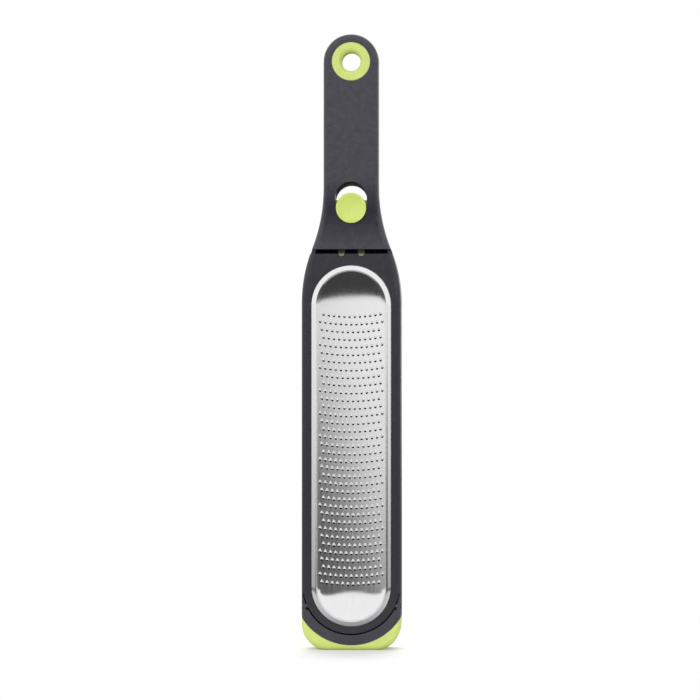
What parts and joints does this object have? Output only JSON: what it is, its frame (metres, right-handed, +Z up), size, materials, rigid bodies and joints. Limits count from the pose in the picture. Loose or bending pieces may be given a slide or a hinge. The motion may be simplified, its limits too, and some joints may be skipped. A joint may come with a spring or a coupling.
{
  "type": "rasp zester",
  "caption": "Tall rasp zester with a closed zest tray, a dished grating plate in a swinging frame, a spring-loaded thumb release and a soft foot it stands on.",
  "frame": {"origin": "middle of the bounding box at the underside of the foot, where the tool stands", "axes": "+Z up along the tool from the foot to the hang hole, -Y towards the grating side, +X to the right seen from the grating side"},
  "size_m": [0.0494, 0.025, 0.3062],
  "materials": {
    "handle_black": "fine spark-eroded texture",
    "frame_black": "smooth satin",
    "lime_plastic": "smooth satin",
    "lime_rubber": "smooth soft-touch",
    "plate_steel": "bright rolled",
    "small_steel": "plain"
  },
  "bodies": {
    "base": {"main_body": "handle_black", "handle_back_cover": "handle_black", "cover_screw_upper": "small_steel", "cover_screw_middle": "small_steel", "cover_screw_lower": "small_steel", "hang_grommet": "lime_rubber", "end_foot": "lime_rubber", "hinge_pin_left": "small_steel", "hinge_pin_right": "small_steel", "latch_spring_left": "small_steel", "latch_spring_right": "small_steel"},
    "blade": {"blade_frame": "frame_black", "grating_plate": "plate_steel", "plate_retainer": "frame_black"},
    "latch": {"release_slider": "lime_plastic"}
  },
  "joints": [
    {"name": "blade_hinge", "type": "hinge", "parent": "base", "child": "blade", "pos_m": [0, -0.00835, 0.022], "axis": [1, 0, 0], "range_deg": [0, 75]},
    {"name": "latch_slide", "type": "slide", "parent": "base", "child": "latch", "axis": [0, 0, 1], "range_m": [0, 0.0036], "stiffness_N_per_m": 300, "springref_m": -0.003, "deforming": ["latch_spring_left", "latch_spring_right"]}
  ]
}
